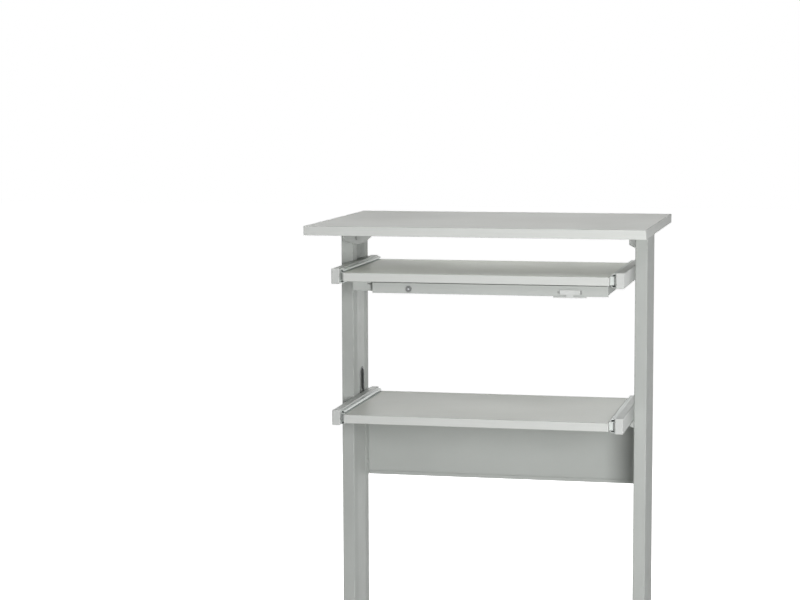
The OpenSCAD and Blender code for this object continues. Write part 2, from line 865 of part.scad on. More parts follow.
// Pull: a plate on the drawer's front, a boss through it, and a finger lip under the front's edge
module drawer_pull() {
    color("whitesmoke") {
        translate([pull_x - pull_w / 2, dr_y - pull_t, pull_z - pull_h / 2]) intersection() {
            soft_block(pull_w, 3 * pull_t, pull_h, 1.2);
            cube([pull_w, pull_t, pull_h]);
        }
        translate([pull_x - pull_w / 2, dr_y - eps, pull_z - pull_h / 2]) {
            pull_boss(pull_boss_in + plug_gap, dr_t + 2 + eps);
        }
        translate([pull_x - pull_web_w / 2, dr_y - pull_t, dr_low - pull_drop]) {
            cube([pull_web_w, pull_t, pull_z - dr_low + pull_drop]);
        }
        along_x(pull_x - pull_lip_w / 2, pull_lip_w) difference() {
            translate([dr_y - pull_t, dr_low - pull_drop]) round_rect(pull_lip_d, pull_drop, 1);
            translate([dr_y + pull_lip_d / 2, pull_groove_z]) circle(pull_groove_r);
        }
    }
}

// Lock

module lock_housing() {
    color("dimgray") difference() {
        union() {
            rod_y([lock_x, dr_y - rosette_t, lock_z], lock_d / 2, rosette_t);
            rod_y([lock_x, dr_y - eps, lock_z], lock_d / 2 - 1 - hole_gap, lock_l + eps);
            rod_y([lock_x, dr_y + dr_t, lock_z], lock_d / 2, lock_nut_t);
        }
        translate([lock_x, dr_y - rosette_t - eps, lock_z]) rotate([-90, 0, 0]) {
            cylinder(r = plug_d / 2 + lock_gap, h = lock_l + rosette_t + 2 * eps);
        }
    }
}

plug_y = dr_y - rosette_t - plug_proud;

module lock_plug() {
    color("gainsboro") difference() {
        rod_y([lock_x, plug_y, lock_z], plug_d / 2, cam_y - plug_y);
        translate([lock_x - key_slot[0] / 2, plug_y - eps, lock_z - key_slot[2] / 2]) cube(key_slot);
    }
}

// Cam on the plug's end, level when unlocked and upright behind the strike when locked
module lock_cam() {
    color("gold") {
        rod_y([lock_x, cam_y, lock_z], cam_hub_r, cam_t);
        translate([lock_x, cam_y, lock_z - cam_r]) cube([cam_reach - cam_r, cam_t, 2 * cam_r]);
        rod_y([lock_x + cam_reach - cam_r, cam_y, lock_z], cam_r, cam_t);
        rod_y([lock_x, cam_y + cam_t - eps, lock_z], cam_r, lock_nut_t);
    }
}

// Angle under the keyboard shelf that the locked cam stands behind
module lock_strike() {
    color("silver") {
        difference() {
            translate([lock_x - strike_w / 2, strike_y - strike_foot, board_under - guide_t]) {
                cube([strike_w, strike_foot + guide_t, guide_t]);
            }
            for (x = strike_screw_x) translate([x, strike_screw_y, board_under - guide_t - eps]) {
                cylinder(r = small_r + hole_gap, h = guide_t + 2 * eps);
            }
        }
        translate([lock_x - strike_w / 2, strike_y, board_under - strike_drop]) {
            cube([strike_w, guide_t, strike_drop]);
        }
    }
}

// Back panel

// Sheet with end flanges on the uprights, a top flange, and a hem folded forward
module back_panel() {
    w = -2 * x_in;
    hem_r = panel_t + hem_gap / 2;
    color("silver") difference() {
        union() {
            translate([x_in, panel_y - panel_t, panel_z + hem_r]) cube([w, panel_t, panel_h - hem_r]);
            translate([x_in + hem_in, panel_y - 2 * hem_r, panel_z + hem_r]) {
                cube([w - 2 * hem_in, panel_t, hem_h - hem_r]);
            }
            along_x(x_in + hem_in, w - 2 * hem_in) translate([panel_y - hem_r, panel_z + hem_r]) {
                intersection() {
                    difference() {
                        circle(hem_r);
                        circle(hem_gap / 2);
                    }
                    translate([-hem_r, -hem_r]) square([2 * hem_r, hem_r]);
                }
            }
            for (s = [-1, 1]) on_side(s) {
                translate([x_in, panel_y - panel_flange, panel_z + hem_r]) {
                    cube([panel_t, panel_flange, panel_h - hem_r]);
                }
            }
            translate([x_in, panel_y - panel_top_d, panel_z + panel_h - panel_t]) {
                cube([w, panel_top_d, panel_t]);
            }
        }
        for (s = [-1, 1], z = panel_bolt_z) on_side(s) {
            rod_x([x_in - eps, lip_y[1], z], bolt_r + hole_gap, panel_t + 2 * eps);
        }
    }
}

module panel_bolts() {
    color("gray") for (s = [-1, 1], z = panel_bolt_z) on_side(s) {
        translate([x_in + panel_t, lip_y[1], z]) mirror([1, 0, 0]) bolt_x(panel_t + up_wall);
    }
}

// Feet

module foot(s) {
    color("silver") on_side(s) difference() {
        translate([x_out, 0, glide_h]) {
            tube_y(up_w, foot_h, foot_wall, foot_r, -foot_tube_l / 2, foot_tube_l);
        }
        for (y = glide_y) translate([x_out + up_w / 2, y, glide_h - eps]) {
            cylinder(r = stem_r + hole_gap, h = foot_wall + 2 * eps);
        }
        for (y = tie_bolt_y) {
            rod_x([x_in - foot_wall - eps, y, tie_z], bolt_r + hole_gap, foot_wall + 2 * eps);
        }
    }
}

module foot_caps() {
    color("dimgray") for (s = [-1, 1], e = [0, 1]) on_side(s) mirror([0, e, 0]) {
        translate([x_out, -foot_l / 2, glide_h]) tube_cap(up_w, foot_h, foot_wall, foot_r);
    }
}

// Levelling glide: a dished disc, a hexagon that stops on the foot, and a stem in the foot
module glide(s, y) {
    color("dimgray") on_side(s) translate([x_out + up_w / 2, y, 0]) {
        rotate_extrude() {
            square([glide_d / 2 - glide_r, glide_t]);
            translate([0, 1]) square([glide_d / 2, glide_t - 1 - glide_r]);
            translate([glide_d / 2 - glide_r, glide_t - glide_r]) circle(glide_r);
        }
        translate([0, 0, glide_t - eps]) {
            cylinder(r = 2 * stem_r, h = glide_h - glide_t + eps, $fn = 6);
        }
        cylinder(r = stem_r, h = glide_h + glide_travel + stem_hold);
    }
}

module tie_bar() {
    half = -x_in - tie_plate_t;
    color("silver") difference() {
        union() {
            along_x(-half - eps, 2 * half + 2 * eps) {
                translate([tie_y - tie_t / 2, tie_z - tie_h / 2]) difference() {
                    round_rect(tie_t, tie_h, tie_r);
                    translate([tie_wall, tie_wall]) {
                        round_rect(tie_t - 2 * tie_wall, tie_h - 2 * tie_wall, tie_r - tie_wall);
                    }
                }
            }
            for (s = [-1, 1]) on_side(s) along_x(x_in, tie_plate_t) {
                translate([tie_y - tie_plate_d / 2, tie_z - tie_h / 2]) {
                    round_rect(tie_plate_d, tie_h, tie_bolt_in / 2);
                }
            }
        }
        for (s = [-1, 1], y = tie_bolt_y) on_side(s) {
            rod_x([x_in - eps, y, tie_z], bolt_r + hole_gap, tie_plate_t + 2 * eps);
        }
    }
}

module tie_bolts() {
    color("gray") for (s = [-1, 1], y = tie_bolt_y) on_side(s) {
        translate([x_in + tie_plate_t, y, tie_z]) mirror([1, 0, 0]) bolt_x(tie_plate_t + foot_wall);
    }
}

worktop();
worktop_edging();
upright(-1);  // upright_left
upright(1);  // upright_right
upper_cover(-1);  // cover_upper_left
upper_cover(1);  // cover_upper_right
lower_cover(-1);  // cover_lower_left
lower_cover(1);  // cover_lower_right
bracket(-1);  // bracket_left
bracket(1);  // bracket_right
bracket_bolts();
bracket_screws();
arm(-1, upper_z);  // arm_upper_left
arm(1, upper_z);  // arm_upper_right
arm(-1, lower_z);  // arm_lower_left
arm(1, lower_z);  // arm_lower_right
arm_caps_front();
arm_caps_rear();
arm_bolts();
slide_outer(-1, upper_z);  // slide_outer_upper_left
slide_outer(1, upper_z);  // slide_outer_upper_right
slide_outer(-1, lower_z);  // slide_outer_lower_left
slide_outer(1, lower_z);  // slide_outer_lower_right
slide_outer_screws();
back_panel();
panel_bolts();
foot(-1);  // foot_left
foot(1);  // foot_right
foot_caps();
tie_bar();
tie_bolts();
glide(-1, glide_y[0]);  // glide_front_left
glide(1, glide_y[0]);  // glide_front_right
glide(-1, glide_y[1]);  // glide_rear_left
glide(1, glide_y[1]);  // glide_rear_right
keyboard_shelf();
keyboard_shelf_edging();
slide_inner(-1, upper_z);  // slide_inner_upper_left
slide_inner(1, upper_z);  // slide_inner_upper_right
slide_inner_screws(upper_z);  // slide_inner_upper_screws
ball_cage_upper();
slide_balls_upper();
lower_shelf();
lower_shelf_edging();
slide_inner(-1, lower_z);  // slide_inner_lower_left
slide_inner(1, lower_z);  // slide_inner_lower_right
slide_inner_screws(lower_z);  // slide_inner_lower_screws
ball_cage_lower();
slide_balls_lower();
guide(true, guide_l_w);  // drawer_guide_left
guide(false, guide_r_w);  // drawer_guide_right
guide_caps();
guide_screws();
lock_strike();
drawer_tray();
drawer_front();
drawer_pull();
lock_housing();
lock_plug();
lock_cam();
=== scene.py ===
"""Looks of the standing computer workstation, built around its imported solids."""

import json
import math
import random

import bmesh
import bpy
from mathutils import Matrix, Vector


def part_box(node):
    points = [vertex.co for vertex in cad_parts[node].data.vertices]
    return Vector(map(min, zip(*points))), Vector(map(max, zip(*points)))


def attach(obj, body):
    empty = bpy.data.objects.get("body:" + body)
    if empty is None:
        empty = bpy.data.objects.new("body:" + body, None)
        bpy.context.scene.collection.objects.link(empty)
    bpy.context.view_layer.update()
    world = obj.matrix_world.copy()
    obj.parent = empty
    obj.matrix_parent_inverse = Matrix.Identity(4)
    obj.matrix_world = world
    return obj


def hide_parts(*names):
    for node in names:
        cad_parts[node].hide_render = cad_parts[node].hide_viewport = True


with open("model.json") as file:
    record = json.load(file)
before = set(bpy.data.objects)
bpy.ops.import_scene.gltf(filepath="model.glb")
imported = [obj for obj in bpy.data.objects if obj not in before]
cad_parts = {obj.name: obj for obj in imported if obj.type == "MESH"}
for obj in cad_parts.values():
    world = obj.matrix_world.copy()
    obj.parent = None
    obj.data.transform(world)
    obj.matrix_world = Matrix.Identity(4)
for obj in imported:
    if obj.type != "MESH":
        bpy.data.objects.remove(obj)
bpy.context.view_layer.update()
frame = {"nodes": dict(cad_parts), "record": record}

MM = 0.001
TAU = 2 * math.pi
TINY = 1e-6

# Camera, fitted to the corners and edges of the object in the photograph
CAM_PLACE = (0.9063, -5.0986, 1.5194)
CAM_YAW = 0.2205
CAM_PITCH = 0.10305
CAM_ROLL = -0.0030
CAM_FOCAL_PX = 2131.7
CAM_REACH = 100
IMAGE_W = 800
SENSOR_W = 36.0

# Studio lamps, which all point at LAMP_TARGET: place, size, watts, and whether a gloss shows it
LAMPS = {
    "key": ((1.45, -3.10, 1.15), (1.2, 1.0), 92.0, False),
    "side": ((2.90, -1.35, 1.10), (1.0, 1.8), 6.5, True),
    "high": ((0.60, -2.00, 3.10), (1.6, 1.0), 19.0, True),
    "back": ((0.00, 3.20, 1.15), (6.0, 1.8), 39.0, True),
    "top": ((0.20, -0.30, 3.20), (2.0, 2.0), 8.0, True),
    "rear": ((-2.60, 1.90, 0.60), (1.2, 1.0), 135.0, False),
}
LAMP_TARGET = (0.0, 0.0, 0.95)
AMBIENT = 0.01
WHITE = (1.0, 1.0, 1.0, 1.0)

# Floor: its glow goes from the first level to the second, which is white, over these distances, so
# that less glow near the object paints a shade on the floor round it
FLOOR_GLOW = (0.50, 1.0)
FLOOR_FADE = (0.60, 1.30)
FLOOR_SIZE = 40.0
FLOOR_CELLS = 8
FLOOR_GREY = (0.80, 0.80, 0.80, 1.0)
FLOOR_ROUGHNESS = 0.85

# Surface colours, sRGB from 0 to 255
LAMINATE = (215, 217, 211)
EDGING = (191, 193, 190)
PAINT = (171, 174, 171)
CAP_GREY = (186, 188, 186)
ZINC = (204, 209, 206)
FASTENER = (176, 178, 176)
DARK_PLASTIC = (52, 53, 54)
BRASS = (196, 170, 108)
LOCK_RING = (138, 140, 139)
LOCK_FACE = (150, 152, 151)
CHROME = (226, 228, 230)
# The next grey is painted shade in the pull's sockets, and also the slide bumpers' own grey
SHADE_AND_BUMPER_GREY = (138, 140, 138)
TRIM_GREY = (92, 94, 94)

# Grain along one way: the noise is stretched where the scale is low
ALONG_STRIP = (14.0, 14.0, 1500.0)
ALONG_Y = (900.0, 9.0, 900.0)
ALONG_X = (9.0, 900.0, 900.0)

# Powder coats: lowest and highest roughness, and the specular level
MATT_COAT = {"roughness": (0.62, 0.74), "specular": 0.25}
SATIN_COAT = {"roughness": (0.50, 0.62), "specular": 0.35}
SMOOTH_COAT = {"roughness": (0.41, 0.52), "specular": 0.45}

# How far a material rounds the sharp edges, and the angle above which an edge is sharp
PAINT_EDGE = 0.7 * MM
COVER_EDGE = 0.5 * MM
PLASTIC_EDGE = 0.4 * MM
STEEL_EDGE = 0.3 * MM
POLISHED_EDGE = 0.2 * MM
SHARP_ANGLE = math.radians(35.0)

# Share of paler colour along the edges, as wear and as a painted highlight on them, and scale of a
# moulded texture
PAINT_WEAR_AND_HIGHLIGHT = 0.22
COVER_WEAR_AND_HIGHLIGHT = 0.30
PLASTIC_WEAR_AND_HIGHLIGHT = 0.25
FINE_TEXTURE = 620.0
COARSE_TEXTURE = 480.0


def linear(rgb, gain=1.0):
    """Linear colour with alpha from an sRGB colour of 0 to 255, made lighter or darker."""
    def channel(value):
        c = value / 255
        return gain * (c / 12.92 if c <= 0.04045 else ((c + 0.055) / 1.055) ** 2.4)
    return tuple(channel(value) for value in rgb) + (1.0,)


# Camera

def make_camera():
    data = bpy.data.cameras.new("camera")
    data.sensor_width = SENSOR_W
    data.sensor_fit = "HORIZONTAL"
    data.lens = CAM_FOCAL_PX / IMAGE_W * SENSOR_W
    data.clip_end = CAM_REACH
    camera = bpy.data.objects.new("camera", data)
    bpy.context.scene.collection.objects.link(camera)
    turn = Matrix.Rotation(CAM_YAW, 4, "Z") @ Matrix.Rotation(math.pi / 2 - CAM_PITCH, 4, "X")
    camera.matrix_world = Matrix.Translation(CAM_PLACE) @ turn @ Matrix.Rotation(CAM_ROLL, 4, "Z")
    bpy.context.scene.camera = camera


# Shader building

BEVEL_SAMPLES = 6
EDGE_COSINES = (0.99, 0.72)  # of the rounded normal's turn, where an edge begins and is full
MIX_INPUTS = (0, 6, 7)  # the share and the two colours
MIX_COLOUR = 2


class Shader:
    """A material's node tree, with short calls for the nodes used here."""

    def __init__(self, name):
        self.material = bpy.data.materials.new(name)
        self.material.use_nodes = True
        self.tree = self.material.node_tree
        self.bsdf = self.tree.nodes["Principled BSDF"]
        self.place = self.node("ShaderNodeTexCoord").outputs["Object"]

    def node(self, kind, **settings):
        made = self.tree.nodes.new(kind)
        for key, value in settings.items():
            setattr(made, key, value)
        return made

    def join(self, source, target):
        self.tree.links.new(source, target)

    def feed(self, sockets, values):
        """Give each input a value, or the output that it comes from."""
        for socket, value in zip(sockets, values):
            if hasattr(value, "is_output"):
                self.join(value, socket)
            else:
                socket.default_value = value

    def stretched(self, scale):
        """Object coordinates scaled along the axes, for grain that runs one way."""
        mapping = self.node("ShaderNodeMapping")
        mapping.inputs["Scale"].default_value = scale
        self.join(self.place, mapping.inputs["Vector"])
        return mapping.outputs["Vector"]

    def noise(self, scale, detail, roughness, vector=None):
        made = self.node("ShaderNodeTexNoise")
        made.inputs["Scale"].default_value = scale
        made.inputs["Detail"].default_value = detail
        made.inputs["Roughness"].default_value = roughness
        self.join(vector or self.place, made.inputs["Vector"])
        return made.outputs["Fac"]

    def spots(self, scale):
        """Distance to the nearest of many scattered points."""
        made = self.node("ShaderNodeTexVoronoi")
        made.inputs["Scale"].default_value = scale
        self.join(self.place, made.inputs["Vector"])
        return made.outputs["Distance"]

    def tones(self, source, colour, dark, light):
        """Shades of a colour over a value, between two stops of (position, gain)."""
        made = self.node("ShaderNodeValToRGB")
        for element, (position, gain) in zip(made.color_ramp.elements, (dark, light)):
            element.position = position
            element.color = linear(colour, gain)
        self.join(source, made.inputs["Fac"])
        return made.outputs["Color"]

    def remap(self, source, span, to):
        """A value that goes through one range while its source goes through a span."""
        made = self.node("ShaderNodeMapRange")
        for key, value in zip(("From Min", "From Max", "To Min", "To Max"), (*span, *to)):
            made.inputs[key].default_value = value
        self.join(source, made.inputs["Value"])
        return made.outputs["Result"]

    def mix(self, first, second, share):
        """First colour with a share of the second."""
        made = self.node("ShaderNodeMix", data_type="RGBA")
        self.feed([made.inputs[i] for i in MIX_INPUTS], (share, first, second))
        return made.outputs[MIX_COLOUR]

    def product(self, first, second):
        made = self.node("ShaderNodeMath", operation="MULTIPLY")
        self.feed(made.inputs, (first, second))
        return made.outputs[0]

    def rounded(self, radius):
        """Normal as if the sharp edges were rounded."""
        bevel = self.node("ShaderNodeBevel", samples=BEVEL_SAMPLES)
        bevel.inputs["Radius"].default_value = radius
        return bevel.outputs["Normal"]

    def edges(self, radius):
        """1 along sharp outer and inner edges within a radius, 0 on flat faces."""
        dot = self.node("ShaderNodeVectorMath", operation="DOT_PRODUCT")
        self.join(self.rounded(radius), dot.inputs[0])
        self.join(self.node("ShaderNodeNewGeometry").outputs["Normal"], dot.inputs[1])
        return self.remap(dot.outputs["Value"], EDGE_COSINES, (0.0, 1.0))

    def bump(self, height, distance, strength, edge=0.0):
        """Normal from a height, over rounded sharp edges where a radius is given."""
        made = self.node("ShaderNodeBump")
        made.inputs["Strength"].default_value = strength
        made.inputs["Distance"].default_value = distance
        self.join(height, made.inputs["Height"])
        if edge:
            self.join(self.rounded(edge), made.inputs["Normal"])
        return made.outputs["Normal"]

    def finish(self, colour, roughness, normal, metallic=0.0, specular=0.5):
        self.join(colour, self.bsdf.inputs["Base Color"])
        self.join(roughness, self.bsdf.inputs["Roughness"])
        self.join(normal, self.bsdf.inputs["Normal"])
        self.bsdf.inputs["Metallic"].default_value = metallic
        self.bsdf.inputs["Specular IOR Level"].default_value = specular
        return self.material


# Materials

def laminate(name, colour):
    """Melamine board: a cloudy grey with a fine pearl grain, rubbed smoother in broad patches."""
    sh = Shader(name)
    cloud = sh.noise(scale=5.0, detail=4.0, roughness=0.6)
    base = sh.tones(cloud, colour, dark=(0.30, 0.965), light=(0.72, 1.03))
    grain = sh.noise(scale=900.0, detail=3.0, roughness=0.65)
    shade = sh.tones(grain, colour, dark=(0.34, 0.90), light=(0.62, 1.06))
    base = sh.mix(base, shade, share=0.30)
    flecks = sh.remap(sh.spots(scale=430.0), span=(0.10, 0.22), to=(0.22, 0.0))
    base = sh.mix(base, linear(colour, gain=0.80), share=flecks)
    rubbed = sh.noise(scale=3.2, detail=5.0, roughness=0.62)
    rough = sh.remap(rubbed, span=(0.3, 0.75), to=(0.46, 0.36))
    pores = sh.noise(scale=1300.0, detail=3.0, roughness=0.6)
    normal = sh.bump(pores, distance=0.07 * MM, strength=0.6)
    return sh.finish(base, rough, normal, specular=0.06)


def edging(name, colour):
    """Extruded edging: faint lines along the strip, a soft sheen and a few scuffs."""
    sh = Shader(name)
    lines = sh.noise(scale=1.0, detail=3.0, roughness=0.6, vector=sh.stretched(ALONG_STRIP))
    base = sh.tones(lines, colour, dark=(0.30, 0.955), light=(0.70, 1.02))
    scuffs = sh.noise(scale=38.0, detail=6.0, roughness=0.72)
    scuffs = sh.remap(scuffs, span=(0.60, 0.74), to=(0.0, 0.30))
    base = sh.mix(base, linear(colour, gain=0.86), share=scuffs)
    sheen = sh.noise(scale=24.0, detail=4.0, roughness=0.6)
    rough = sh.remap(sheen, span=(0.3, 0.7), to=(0.66, 0.76))
    normal = sh.bump(lines, distance=0.05 * MM, strength=0.5)
    return sh.finish(base, rough, normal, specular=0.25)


def powder_coat(name, colour, roughness, specular, edge=PAINT_EDGE, wear_and_highlight=PAINT_WEAR_AND_HIGHLIGHT):
    """Powder coat: orange peel, a fine two-tone speckle, and paler paint along the edges, as wear
    and as a painted highlight.
    """
    sh = Shader(name)
    cloud = sh.noise(scale=7.0, detail=4.0, roughness=0.6)
    base = sh.tones(cloud, colour, dark=(0.30, 0.96), light=(0.72, 1.03))
    speckle = sh.noise(scale=1900.0, detail=2.0, roughness=0.5)
    tone = sh.tones(speckle, colour, dark=(0.36, 0.88), light=(0.60, 1.05))
    base = sh.mix(base, tone, share=0.28)
    patches = sh.noise(scale=60.0, detail=4.0, roughness=0.7)
    patches = sh.remap(patches, span=(0.35, 0.65), to=(0.2, 1.0))
    worn_and_lit_edges = sh.product(sh.edges(edge), patches)
    # Paler paint along the edges: partly wear, partly a painted highlight
    base = sh.mix(base, linear(colour, gain=1.24), share=sh.product(worn_and_lit_edges, wear_and_highlight))
    sheen = sh.noise(scale=30.0, detail=5.0, roughness=0.6)
    rough = sh.remap(sheen, span=(0.3, 0.7), to=roughness)
    peel = sh.noise(scale=330.0, detail=2.0, roughness=0.5)
    normal = sh.bump(peel, distance=0.22 * MM, strength=0.45, edge=edge)
    return sh.finish(base, rough, normal, specular=specular)


def plated_steel(name, colour, grain, roughness, metallic=1.0):
    """Plated steel: drawn streaks along one axis, darker and rougher in between, and a bloom."""
    sh = Shader(name)
    streaks = sh.noise(scale=1.0, detail=4.0, roughness=0.65, vector=sh.stretched(grain))
    base = sh.tones(streaks, colour, dark=(0.28, 0.80), light=(0.70, 1.02))
    bloom = sh.noise(scale=85.0, detail=5.0, roughness=0.6)
    bloom = sh.remap(bloom, span=(0.48, 0.70), to=(0.0, 0.18))
    base = sh.mix(base, linear(colour, gain=0.66), share=bloom)
    rough = sh.remap(streaks, span=(0.25, 0.75), to=reversed(roughness))
    normal = sh.bump(streaks, distance=0.04 * MM, strength=0.35, edge=STEEL_EDGE)
    return sh.finish(base, rough, normal, metallic=metallic)


def moulded(name, colour, roughness, texture=FINE_TEXTURE):
    """Moulded plastic: spark-eroded texture, faint flow marks and paler edges, as wear and as a
    painted highlight.
    """
    sh = Shader(name)
    flow = sh.noise(scale=26.0, detail=5.0, roughness=0.6)
    base = sh.tones(flow, colour, dark=(0.30, 0.94), light=(0.70, 1.04))
    # Paler edges: partly wear, partly a painted highlight
    worn_and_lit = sh.product(sh.edges(PLASTIC_EDGE), PLASTIC_WEAR_AND_HIGHLIGHT)
    base = sh.mix(base, linear(colour, gain=1.18), share=worn_and_lit)
    sheen = sh.noise(scale=140.0, detail=4.0, roughness=0.6)
    rough = sh.remap(sheen, span=(0.3, 0.7), to=roughness)
    skin = sh.noise(scale=texture, detail=3.0, roughness=0.6)
    normal = sh.bump(skin, distance=0.10 * MM, strength=0.5, edge=PLASTIC_EDGE)
    return sh.finish(base, rough, normal, specular=0.4)


def polished(name, colour, roughness):
    """Polished metal with faint rubbing and a thin stain in patches."""
    sh = Shader(name)
    patches = sh.noise(scale=240.0, detail=4.0, roughness=0.6)
    base = sh.tones(patches, colour, dark=(0.35, 0.85), light=(0.65, 1.0))
    rubbed = sh.noise(scale=900.0, detail=3.0, roughness=0.6)
    rough = sh.remap(rubbed, span=(0.3, 0.7), to=roughness)
    scratches = sh.noise(scale=1600.0, detail=2.0, roughness=0.5)
    normal = sh.bump(scratches, distance=0.02 * MM, strength=0.3, edge=POLISHED_EDGE)
    return sh.finish(base, rough, normal, metallic=1.0)


MATERIALS = {
    "laminate_board": laminate("laminate", LAMINATE),
    "board_edging": edging("edging", EDGING),
    "painted_frame": powder_coat("frame_paint", PAINT, **MATT_COAT),
    "channel_cover": powder_coat("cover_paint", PAINT, **SATIN_COAT,
                                 edge=COVER_EDGE, wear_and_highlight=COVER_WEAR_AND_HIGHLIGHT),
    "zinc_plated_steel": plated_steel("zinc", ZINC, ALONG_Y, (0.40, 0.55), metallic=0.20),
    "bearing_steel": polished("bearing_steel", CHROME, (0.08, 0.17)),
    "grey_plastic": moulded("grey_plastic", CAP_GREY, (0.36, 0.50)),
    "dark_plastic": moulded("dark_plastic", DARK_PLASTIC, (0.42, 0.60), COARSE_TEXTURE),
    "plated_fasteners": plated_steel("fasteners", FASTENER, ALONG_X, (0.30, 0.46), metallic=0.5),
    "lock_chrome": polished("lock_chrome", CHROME, (0.14, 0.23)),
    "lock_dark": plated_steel("lock_ring", LOCK_RING, ALONG_Y, (0.25, 0.40)),
}
ARM_PAINT = powder_coat("arm_paint", PAINT, **SMOOTH_COAT)
CAGE_STEEL = plated_steel("cage_steel", BRASS, ALONG_Y, (0.30, 0.46))
LOCK_FACE_STEEL = plated_steel("lock_face", LOCK_FACE, ALONG_X, (0.30, 0.44))
# Darker grey: painted shade in the pull's sockets, and the slide bumpers' own grey
SHADE_AND_BUMPER_PLASTIC = moulded("shade_and_bumper_grey", SHADE_AND_BUMPER_GREY, (0.55, 0.70))
TRIM_PLASTIC = moulded("trim_grey", TRIM_GREY, (0.40, 0.55), COARSE_TEXTURE)

BODIES = frame["record"]["behaviour"]["bodies"]
BODY_OF = {node: body for body, nodes in BODIES.items() for node in nodes}
SLOT_OF = {part["node"]: part["material_slot"] for part in frame["record"]["subparts"]}


def material_of(node):
    """Material of a node: that of its slot, unless it has one of its own."""
    if node.startswith("ball_cage"):
        return CAGE_STEEL
    if node.startswith(("arm_upper", "arm_lower")):
        return ARM_PAINT
    if node in ("bracket_left", "bracket_right"):
        return MATERIALS["channel_cover"]
    return MATERIALS["painted_frame" if node == "guide_caps" else SLOT_OF[node]]


def paint_solids():
    for node, solid in frame["nodes"].items():
        solid.data.materials.clear()
        solid.data.materials.append(material_of(node))


# Outlines: the radius at an angle, as a share of a ring's radius

def circle(angle):
    return 1.0


def hexagon(angle):
    """Hexagon whose corners are at 1."""
    half = math.pi / 6
    within = (angle + half) % (2 * half) - half
    return math.cos(half) / math.cos(within)


def cross(angle):
    """Four-armed recess whose arms reach 1."""
    core = 0.34
    return core + (1 - core) * max(0.0, math.cos(2 * angle)) ** 4


def rectangle(width, height):
    """Rectangle as wide as its ring."""
    def radius(angle):
        across = max(abs(math.cos(angle)), TINY)
        up = max(abs(math.sin(angle)), TINY)
        return min(1.0 / across, height / width / up)
    return radius


def rounded_rectangle(width, height):
    """Rectangle with rounded corners, as wide as its ring."""
    power = 5

    def radius(angle):
        across = abs(math.cos(angle))
        up = abs(math.sin(angle)) * width / height
        return (across ** power + up ** power) ** (-1 / power)
    return radius


# Mesh building

def loft(bm, loops, hollow=False):
    """Closed skin through loops; a hollow one goes back to its first loop and has no ends."""
    for first, second in zip(loops, loops[1:] + loops[:1] if hollow else loops[1:]):
        for i in range(len(first)):
            j = (i + 1) % len(first)
            bm.faces.new((first[i], first[j], second[j], second[i]))
    if not hollow:
        bm.faces.new(list(reversed(loops[0])))
        bm.faces.new(loops[-1])


def in_mm(rings, up=0.0):
    """Rings of (height, radius, outline) from millimetres, moved up their axis."""
    return [(up + height * MM, radius * MM, outline) for height, radius, outline in rings]


def lathe(bm, rings, place, axis, sides=36, hollow=False):
    """Solid lofted through rings of (height, radius, outline) along an axis from a place."""
    turn = Vector((0, 0, 1)).rotation_difference(Vector(axis)).to_matrix()
    loops = []
    for height, radius, outline in rings:
        loop = []
        for i in range(sides):
            angle = TAU * i / sides
            r = radius * outline(angle)
            point = turn @ Vector((r * math.cos(angle), r * math.sin(angle), height))
            loop.append(bm.verts.new(Vector(place) + point))
        loops.append(loop)
    loft(bm, loops, hollow)


def sweep(bm, stations, section):
    """Solid through stations of (place, across, up), with one section of (across, up) in mm."""
    loops = []
    for place, across, up in stations:
        loops.append([bm.verts.new(place + across * a * MM + up * b * MM) for a, b in section])
    loft(bm, loops)


BLOCK_BEVEL = 0.3 * MM


def block(bm, outline, front_y, depth):
    """Block with rounded edges from an outline of (x, z), which reaches back from a y."""
    rims = [[bm.verts.new((x, y, z)) for x, z in outline] for y in (front_y, front_y + depth)]
    front, back = rims
    count = len(front)
    faces = [bm.faces.new(front), bm.faces.new(list(reversed(back)))]
    for i in range(count):
        j = (i + 1) % count
        faces.append(bm.faces.new((front[i], front[j], back[j], back[i])))
    edges = list({edge for face in faces for edge in face.edges})
    edges.sort(key=lambda edge: [round(v, 6) for v in (*edge.verts[0].co, *edge.verts[1].co)])
    bmesh.ops.bevel(bm, geom=edges, offset=BLOCK_BEVEL, segments=2, affect="EDGES")


def make_piece(name, bm, body, slot, material=None):
    """Object from a bmesh that rides on a body and takes its finish from a slot."""
    bmesh.ops.recalc_face_normals(bm, faces=bm.faces)
    mesh = bpy.data.meshes.new(name)
    bm.to_mesh(mesh)
    bm.free()
    for face in mesh.polygons:
        face.use_smooth = True
    mesh.set_sharp_from_angle(angle=SHARP_ANGLE)
    mesh.materials.append(material or MATERIALS[slot])
    piece = bpy.data.objects.new(name, mesh)
    bpy.context.scene.collection.objects.link(piece)
    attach(piece, body)
    return piece


def islands(node):
    """Lowest and highest corner of each separate solid in a node."""
    bm = bmesh.new()
    bm.from_mesh(frame["nodes"][node].data)
    bmesh.ops.remove_doubles(bm, verts=bm.verts, dist=TINY)
    unseen = set(bm.verts)
    boxes = []
    while unseen:
        stack = [unseen.pop()]
        low = Vector(stack[0].co)
        high = Vector(stack[0].co)
        while stack:
            vert = stack.pop()
            for axis in range(3):
                low[axis] = min(low[axis], vert.co[axis])
                high[axis] = max(high[axis], vert.co[axis])
            for edge in vert.link_edges:
                other = edge.other_vert(vert)
                if other in unseen:
                    unseen.remove(other)
                    stack.append(other)
        boxes.append((low, high))
    bm.free()
    return sorted(boxes, key=lambda box: tuple(round(v, 5) for v in box[0]))


# Bolts, whose rings are in mm from the underside of the head and from the nut's seat

